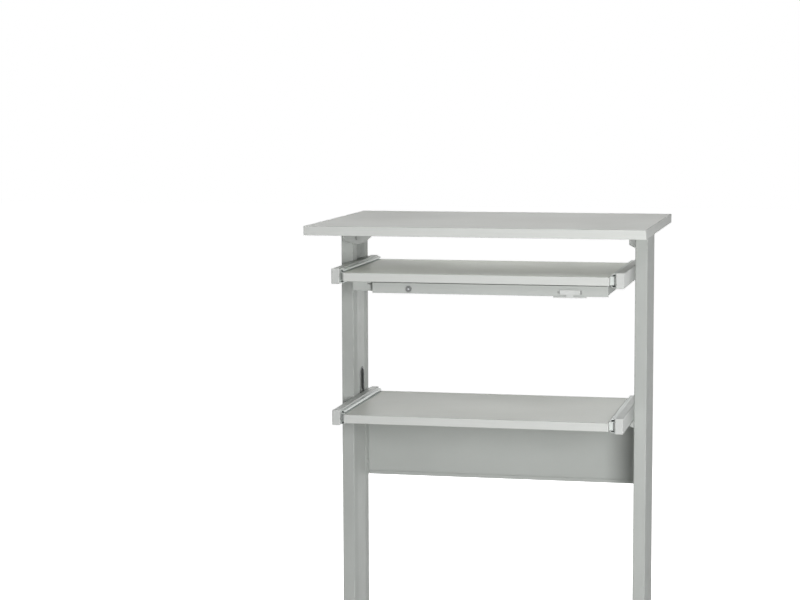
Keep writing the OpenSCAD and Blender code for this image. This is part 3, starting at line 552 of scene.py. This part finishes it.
BOLT_NODES = ("bracket_bolts", "arm_bolts", "panel_bolts", "tie_bolts")
BOLT_HEAD_R = 5.4 * MM
BOLT_HEAD_T = 3.3 * MM
BOLT_R = 3.0 * MM
BOLT_CHAMFER = 0.6 * MM
BOLT_END = 2.0 * MM  # how far a bolt stands out of its nut
BOLT_NECK = 0.97  # share of the head's radius at its underside
BOLT_TIP = 0.78  # share of the bolt's radius at its tip
DOME_FLAT = 0.42  # share of the head's radius that its flat top takes
DOME_STEPS = 6
SOCKET_RINGS = ((-0.9, 0.05, circle), (-1.3, 1.15, hexagon), (-1.5, 2.3, hexagon),
                (-3.15, 2.3, hexagon), (-3.3, 2.576, circle))
NUT_T = 4.8 * MM
NUT_RINGS = ((0.0, 3.03, circle), (0.0, 4.84, circle), (0.45, 5.5, hexagon),
             (4.35, 5.5, hexagon), (4.8, 4.84, circle), (4.8, 3.03, circle))


def button_bolt(bm, place, axis, length):
    """Button-head bolt from the underside of its head along an axis, with its hexagon nut."""
    dome = []
    for k in reversed(range(DOME_STEPS)):
        angle = math.pi / 2 * k / DOME_STEPS
        share = DOME_FLAT + (1 - DOME_FLAT) * math.cos(angle)
        dome.append((-BOLT_HEAD_T * math.sin(angle), BOLT_HEAD_R * share, circle))
    shank = [
        (0.0, BOLT_HEAD_R * BOLT_NECK, circle), (0.0, BOLT_R, circle),
        (length - BOLT_CHAMFER, BOLT_R, circle), (length, BOLT_R * BOLT_TIP, circle),
    ]
    lathe(bm, in_mm(SOCKET_RINGS) + dome + shank, place, axis)
    lathe(bm, in_mm(NUT_RINGS, length - BOLT_END - NUT_T), place, axis)


def dress_bolts():
    """Bolts with socket heads and chamfered nuts, in the place of the plain ones."""
    for node in BOLT_NODES:
        bm = bmesh.new()
        for low, high in islands(node):
            side = -1 if low.x + high.x < 0 else 1
            head_x = high.x if side < 0 else low.x
            place = (head_x + side * BOLT_HEAD_T, (low.y + high.y) / 2, (low.z + high.z) / 2)
            button_bolt(bm, place, (side, 0, 0), high.x - low.x - BOLT_HEAD_T)
        piece = make_piece(node + "_dressed", bm, BODY_OF[node], SLOT_OF[node])
        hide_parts(node)


# Screws, whose head rings are shares of the head's thickness and radius

SCREW_NODES = ("bracket_screws", "guide_screws",
               "slide_inner_upper_screws", "slide_inner_lower_screws")
HEAD_SHARE = 1.8  # the head's radius over the shank's
RECESS_R = 0.04 * MM
RECESS_DEPTH = 0.25  # share of the head's thickness left under the recess
HEAD_RINGS = ((-0.45, 0.40, cross), (-0.97, 0.62, cross), (-1.0, 0.70, circle),
              (-0.86, 0.90, circle), (-0.45, 1.0, circle), (0.0, 1.0, circle))
THREAD_PITCH = 1.6 * MM
THREAD_START = 0.12  # share of the length before the thread
THREAD_SHARE = 0.8  # share of the length that the thread takes
THREAD_CORE = 0.74
POINT_LENGTH = 1.2 * MM
POINT_SHARES = (0.7, 0.1)


def pan_screw(bm, place, axis, length, radius):
    """Pan-head screw with a cross recess, from the underside of its head along an axis."""
    head_t = radius
    rings = [(-head_t * RECESS_DEPTH, RECESS_R, circle)]
    for up, share, outline in HEAD_RINGS:
        rings.append((head_t * up, radius * HEAD_SHARE * share, outline))
    rings.append((0.0, radius, circle))
    start = length * THREAD_START
    for k in range(int(length * THREAD_SHARE / THREAD_PITCH)):
        rings.append((start + k * THREAD_PITCH, radius * THREAD_CORE, circle))
        rings.append((start + (k + 0.5) * THREAD_PITCH, radius, circle))
    shoulder, tip = POINT_SHARES
    rings.append((length - POINT_LENGTH, radius * shoulder, circle))
    rings.append((length, radius * tip, circle))
    lathe(bm, rings, place, axis, sides=24)


def dress_screws():
    """Screws with cross recesses, in the place of the plain ones."""
    for node in SCREW_NODES:
        bm = bmesh.new()
        for low, high in islands(node):
            size = high - low
            middle = (low + high) / 2
            if size.z > size.x:
                radius = size.x / 2 / HEAD_SHARE
                place = (middle.x, middle.y, low.z + radius)
                pan_screw(bm, place, (0, 0, 1), size.z - radius, radius)
            else:
                radius = size.z / 2 / HEAD_SHARE
                side = -1 if middle.x > 0 else 1
                head_x = low.x + radius if side > 0 else high.x - radius
                place = (head_x, middle.y, middle.z)
                pan_screw(bm, place, (side, 0, 0), size.x - radius, radius)
        piece = make_piece(node + "_dressed", bm, BODY_OF[node], SLOT_OF[node])
        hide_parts(node)


# Lock, whose rings have heights in mm from the front of its housing or of its plug

BACKWARD = (0, 1, 0)
LOCK_SIDES = 96
BOSS_SIDES = 64
BORE_GAP = 0.05 * MM
NECK_START = 2.0 * MM
NECK_STEP = 1.2 * MM
KEYHOLE = rectangle(1.8, 0.5)

# With how much wider than the bore they are, in mm
BORE_LIP = ((0.6, 0.0), (0.1, 0.35), (0.0, 0.7))

# With their share of the rosette's or the plug's radius
RIM = ((0.15, 0.80), (0.05, 0.86), (0.25, 0.95), (0.9, 1.0), (1.8, 1.0), (2.0, 0.97))
PLUG_EDGE = ((0.7, 0.78), (0.0, 0.88), (0.35, 1.0))

# With their radius in mm and their outline
DISH_RINGS = ((1.6, 2.1, circle), (0.9, 2.415, circle))
BOSS_RINGS = ((1.5, 0.81, KEYHOLE), (0.3, 0.9, KEYHOLE), (0.1, 0.945, KEYHOLE),
              (0.1, 1.68, circle), (0.45, 2.1, circle), (1.7, 2.1, circle))


def make_rosette():
    """Rosette with a rolled rim, open where the plug goes through it."""
    low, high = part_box("lock_housing")
    middle = (low + high) / 2
    radius = (high.x - low.x) / 2
    depth = high.y - low.y
    plug_low, plug_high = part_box("lock_plug")
    bore = (plug_high.x - plug_low.x) / 2 + BORE_GAP
    neck = radius - NECK_STEP
    rings = [(depth / 2, bore, circle)]
    rings += [(height * MM, bore + wider * MM, circle) for height, wider in BORE_LIP]
    rings += [(height * MM, radius * share, circle) for height, share in RIM]
    rings += [(NECK_START, neck, circle), (depth, neck, circle), (depth, bore, circle)]
    bm = bmesh.new()
    lathe(bm, rings, (middle.x, low.y, middle.z), BACKWARD, LOCK_SIDES, hollow=True)
    housing = make_piece("lock_rosette", bm, BODY_OF["lock_housing"], "lock_dark")
    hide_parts("lock_housing")


def make_plug():
    """Plug with a dished face, and the boss with its key slot that stands in the dish."""
    low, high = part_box("lock_plug")
    middle = (low + high) / 2
    place = (middle.x, low.y, middle.z)
    radius = (high.x - low.x) / 2
    edge = [(height * MM, radius * share, circle) for height, share in PLUG_EDGE]
    bm = bmesh.new()
    rings = in_mm(DISH_RINGS) + edge + [(high.y - low.y, radius, circle)]
    lathe(bm, rings, place, BACKWARD, LOCK_SIDES)
    plug = make_piece("lock_plug_face", bm, BODY_OF["lock_plug"], "lock_chrome", LOCK_FACE_STEEL)
    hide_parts("lock_plug")
    bm = bmesh.new()
    lathe(bm, in_mm(BOSS_RINGS), place, BACKWARD, BOSS_SIDES)
    make_piece("lock_key_boss", bm, BODY_OF["lock_plug"], "lock_chrome")


# Pull: a socket's height at each end of its plate, and a socket's rings as heights in mm from
# the drawer's front and shares of its half width

PULL_HALF_W = 23.5 * MM
PULL_DROP = 5.75 * MM
PULL_ENDS = ((-1, 5.0 * MM), (1, 10.0 * MM))
PULL_SOCKET_W = 4.4 * MM
PULL_SOCKET_OUT = 2.9 * MM
PULL_SOCKET = ((-0.25, 0.55), (-0.30, 0.72), (-0.50, 0.82), (-0.55, 0.93), (0.0, 1.0))


def dress_pull():
    """Shallow sockets at both ends of the pull's plate, where its claws go through the front, in a
    darker grey that paints the shade in them.
    """
    low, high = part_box("drawer_pull")
    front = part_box("drawer_front")[0].y
    middle_x = (low.x + high.x) / 2
    bm = bmesh.new()
    for side, height in PULL_ENDS:
        outline = rounded_rectangle(PULL_SOCKET_W, height)
        rings = [(out * MM, PULL_SOCKET_W / 2 * share, outline) for out, share in PULL_SOCKET]
        x = middle_x + side * (PULL_HALF_W + PULL_SOCKET_OUT)
        lathe(bm, rings, (x, front, high.z - PULL_DROP), BACKWARD, sides=48)
    make_piece("pull_sockets", bm, "drawer", "grey_plastic", SHADE_AND_BUMPER_PLASTIC)


# Channel covers: the outlet's middle, its upper and lower arc as (height, radius), and the
# height where its edge meets the arm; the trim's section is in mm, outward and off the cover

OUTLET_Y = 52 * MM
OUTLET_TOP = (783 * MM, 18 * MM)
OUTLET_END = (727 * MM, 27 * MM)
OUTLET_FOOT = 742.5 * MM
FOOT_STEPS = 4
TOP_STEPS = 8
TRIM_SECTION = ((-0.9, 0.8), (3.4, 0.8), (3.9, 0.4), (3.9, 0.05),
                (0.0, 0.05), (0.0, -3.0), (-0.9, -3.0))
SEAM_R = 0.6 * MM
SEAM_END_R = 0.3 * MM
SEAM_SUNK = 0.15 * MM
SEAM_GAP = 1.0 * MM


def outlet_path():
    """Edge of a cable outlet above the arm: (y, z) and the outward direction at each place."""
    (top_z, top_r), (end_z, end_r) = OUTLET_TOP, OUTLET_END
    start = math.asin((OUTLET_FOOT - end_z) / end_r)
    meet = math.acos(top_r / end_r)
    foot = [(end_r, end_z, start + (meet - start) * k / FOOT_STEPS) for k in range(FOOT_STEPS + 1)]
    half = foot + [(top_r, top_z, math.pi / 2 * k / TOP_STEPS) for k in range(TOP_STEPS + 1)]
    path = [(r * math.cos(a), z + r * math.sin(a), math.cos(a), math.sin(a)) for r, z, a in half]
    return path + [(-y, z, -along, up) for y, z, along, up in reversed(path[:-1])]


def trim_outlets():
    """Dark grey edge trim round both cable outlets."""
    for side, cover in ((-1, "cover_upper_left"), (1, "cover_upper_right")):
        low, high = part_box(cover)
        face_x = high.x if side < 0 else low.x
        out = Vector((-side, 0, 0))
        stations = [(Vector((face_x, OUTLET_Y + y, z)), Vector((0, along, up)), out)
                    for y, z, along, up in outlet_path()]
        bm = bmesh.new()
        sweep(bm, stations, TRIM_SECTION)
        make_piece(cover + "_outlet_trim", bm, "frame", "dark_plastic", TRIM_PLASTIC)


def seam_bead(bm, x, y, start, end):
    """Upright rounded bead with narrower ends, from one height to another."""
    rings = [
        (0.0, SEAM_END_R, circle), (SEAM_GAP, SEAM_R, circle),
        (end - start - SEAM_GAP, SEAM_R, circle), (end - start, SEAM_END_R, circle),
    ]
    lathe(bm, rings, (x, y, start), (0, 0, 1), sides=12)


def seam_covers():
    """Rolled edges of the channel covers, left out where the arms pass."""
    arm_low, arm_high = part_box("arm_lower_left")
    for side, name in ((-1, "left"), (1, "right")):
        bm = bmesh.new()
        for cover in ("cover_upper_" + name, "cover_lower_" + name):
            low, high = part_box(cover)
            face_x = high.x - SEAM_SUNK if side < 0 else low.x + SEAM_SUNK
            spans = [(low.z + SEAM_GAP, high.z - SEAM_GAP)]
            if low.z < arm_low.z < high.z:
                spans = [(low.z + SEAM_GAP, arm_low.z - SEAM_GAP),
                         (arm_high.z + SEAM_GAP, high.z - SEAM_GAP)]
            for y in (low.y + SEAM_R, high.y - SEAM_R):
                for start, end in spans:
                    seam_bead(bm, face_x, y, start, end)
        make_piece("cover_seams_" + name, bm, "frame", "channel_cover")


# Slide bumpers, whose outline is in mm from the middle of an outer slide's web

BUMPER_SETBACK = 0.1 * MM
BUMPER_DEPTH = 2.5 * MM
BUMPER_OUTLINE = ((1.5, -8.0), (3.6, -8.0), (4.3, -7.2), (4.3, -1.6), (3.5, -0.9),
                  (3.5, 0.9), (4.3, 1.6), (4.3, 7.2), (3.6, 8.0), (1.5, 8.0))


def slide_bumpers():
    """Stop bumpers on the outer slides' webs, at their front ends."""
    bm = bmesh.new()
    for level in ("upper", "lower"):
        for name, inward in (("left", 1), ("right", -1)):
            low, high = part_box("slide_outer_%s_%s" % (level, name))
            web_x = low.x if inward > 0 else high.x
            middle_z = (low.z + high.z) / 2
            outline = [(web_x + inward * u * MM, middle_z + v * MM) for u, v in BUMPER_OUTLINE]
            block(bm, outline, low.y + BUMPER_SETBACK, BUMPER_DEPTH)
    make_piece("slide_bumpers", bm, "frame", "grey_plastic", SHADE_AND_BUMPER_PLASTIC)


# Tab under the lower right arm, whose outline is in mm from the arm's outer lower edge

TAB_FRONT_Y = -34.5 * MM
TAB_T = 2.0 * MM
TAB_OUTLINE = ((0.0, 0.0), (0.0, -18.5), (-2.6, -18.5), (-10.2, -15.4), (-10.2, -13.6))


def make_tab():
    """Small folded tab in the corner between the right upright and the lower right arm."""
    arm_low, arm_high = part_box("arm_lower_right")
    outline = [(arm_high.x + x * MM, arm_low.z + z * MM) for x, z in TAB_OUTLINE]
    bm = bmesh.new()
    block(bm, outline, TAB_FRONT_Y, TAB_T)
    make_piece("lower_arm_tab", bm, "frame", "painted_frame", ARM_PAINT)


# Weld beads: step, ripple, unevenness and the two rings at each end as shares of the radius

WELD_STEP = 0.55
WELD_RIPPLE = 0.14
WELD_UNEVEN = 0.03
WELD_TAPER = (0.35, 0.8)
WELD_WAVE = math.pi / 3
WELD_MIN_RINGS = 6
FOOT_WELD_R = 1.9 * MM
FOOT_WELD_INSET = 2.5 * MM
FOOT_WELD_SEED = 11
TIE_WELD_R = 1.5 * MM
TIE_WELD_INSET = 3.0 * MM
TIE_WELD_SEED = 31
TIE_PLATE_T = 4.0 * MM
TIE_HALF_T = 10.0 * MM


def weld_bead(bm, start, end, radius, seed):
    """Rippled bead of weld between two points."""
    rng = random.Random(seed)
    start, end = Vector(start), Vector(end)
    along = end - start
    count = max(WELD_MIN_RINGS, int(along.length / (radius * WELD_STEP)))
    rings = []
    for k in range(count + 1):
        ripple = 1 - WELD_RIPPLE + WELD_RIPPLE * abs(math.sin(k * WELD_WAVE))
        ripple += rng.uniform(-WELD_UNEVEN, WELD_UNEVEN)
        from_end = min(k, count - k)
        taper = WELD_TAPER[from_end] if from_end < len(WELD_TAPER) else 1.0
        rings.append((along.length * k / count, radius * ripple * taper, circle))
    lathe(bm, rings, start, along.normalized(), sides=12)


def weld_feet():
    """Beads where the uprights stand on the feet."""
    for side, name in ((-1, "left"), (1, "right")):
        low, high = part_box("upright_" + name)
        ends = (low.x + FOOT_WELD_INSET, high.x - FOOT_WELD_INSET)
        bm = bmesh.new()
        for k, y in enumerate((low.y, high.y)):
            start, end = [(x, y, low.z) for x in ends]
            weld_bead(bm, start, end, FOOT_WELD_R, FOOT_WELD_SEED * side + k)
        make_piece("foot_%s_weld" % name, bm, "frame", "painted_frame")


def weld_tie_bar():
    """Beads where the tie bar meets its plates."""
    low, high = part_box("tie_bar")
    middle = (low.y + high.y) / 2
    heights = (low.z + TIE_WELD_INSET, high.z - TIE_WELD_INSET)
    bm = bmesh.new()
    for side in (-1, 1):
        x = side * (high.x - TIE_PLATE_T)
        for k, y in enumerate((middle - TIE_HALF_T, middle + TIE_HALF_T)):
            start, end = [(x, y, z) for z in heights]
            weld_bead(bm, start, end, TIE_WELD_R, TIE_WELD_SEED * side + k)
    make_piece("tie_bar_weld", bm, "frame", "painted_frame")


# Studio

def make_lights():
    """Rectangular lamps that the camera doesn't see."""
    for name, (place, size, power, glare) in LAMPS.items():
        data = bpy.data.lights.new(name, "AREA")
        data.shape = "RECTANGLE"
        data.size, data.size_y = size
        data.energy = power
        light = bpy.data.objects.new(name, data)
        bpy.context.scene.collection.objects.link(light)
        light.location = place
        facing = (Vector(LAMP_TARGET) - Vector(place)).to_track_quat("-Z", "Y")
        light.rotation_euler = facing.to_euler()
        light.visible_camera = False
        light.visible_glossy = glare


def seen_rays(tree):
    """1 for rays from the camera, a gloss or a clear surface."""
    path = tree.nodes.new("ShaderNodeLightPath")
    total = path.outputs["Is Camera Ray"]
    for name in ("Is Glossy Ray", "Is Transmission Ray"):
        add = tree.nodes.new("ShaderNodeMath")
        add.operation = "MAXIMUM"
        tree.links.new(total, add.inputs[0])
        tree.links.new(path.outputs[name], add.inputs[1])
        total = add.outputs[0]
    return total


def make_world():
    """White where it is seen, and a soft even light elsewhere."""
    world = bpy.data.worlds.new("studio")
    bpy.context.scene.world = world
    world.use_nodes = True
    tree = world.node_tree
    background = tree.nodes["Background"]
    background.inputs["Color"].default_value = WHITE
    level = tree.nodes.new("ShaderNodeMapRange")
    level.inputs["To Min"].default_value = AMBIENT
    level.inputs["To Max"].default_value = 1.0
    tree.links.new(seen_rays(tree), level.inputs["Value"])
    tree.links.new(level.outputs["Result"], background.inputs["Strength"])


def floor_material():
    """Matt pale grey that glows where it is seen, and more so away from the object, so that it is
    darker round the object: a painted shade there.
    """
    material = bpy.data.materials.new("floor")
    material.use_nodes = True
    tree = material.node_tree
    bsdf = tree.nodes["Principled BSDF"]
    bsdf.inputs["Base Color"].default_value = FLOOR_GREY
    bsdf.inputs["Roughness"].default_value = FLOOR_ROUGHNESS
    bsdf.inputs["Specular IOR Level"].default_value = 0.0
    bsdf.inputs["Emission Color"].default_value = WHITE
    place = tree.nodes.new("ShaderNodeTexCoord").outputs["Object"]
    distance = tree.nodes.new("ShaderNodeVectorMath")
    distance.operation = "LENGTH"
    tree.links.new(place, distance.inputs[0])
    # Less glow near the object: painted shade on the floor round it
    glow = tree.nodes.new("ShaderNodeMapRange")
    glow.inputs["From Min"].default_value, glow.inputs["From Max"].default_value = FLOOR_FADE
    glow.inputs["To Min"].default_value, glow.inputs["To Max"].default_value = FLOOR_GLOW
    tree.links.new(distance.outputs["Value"], glow.inputs["Value"])
    level = tree.nodes.new("ShaderNodeMath")
    level.operation = "MULTIPLY"
    tree.links.new(seen_rays(tree), level.inputs[0])
    tree.links.new(glow.outputs["Result"], level.inputs[1])
    tree.links.new(level.outputs[0], bsdf.inputs["Emission Strength"])
    return material


def make_floor():
    """Pale floor that holds the object's shadow and fades into the background."""
    bm = bmesh.new()
    bmesh.ops.create_grid(bm, x_segments=FLOOR_CELLS, y_segments=FLOOR_CELLS, size=FLOOR_SIZE / 2)
    mesh = bpy.data.meshes.new("floor")
    bm.to_mesh(mesh)
    bm.free()
    mesh.materials.append(floor_material())
    floor = bpy.data.objects.new("floor", mesh)
    bpy.context.scene.collection.objects.link(floor)


make_camera()
make_world()
make_floor()
make_lights()
paint_solids()
dress_bolts()
dress_screws()
make_rosette()
make_plug()
dress_pull()
trim_outlets()
seam_covers()
make_tab()
slide_bumpers()
weld_feet()
weld_tie_bar()

bpy.context.scene.view_settings.view_transform = "Standard"
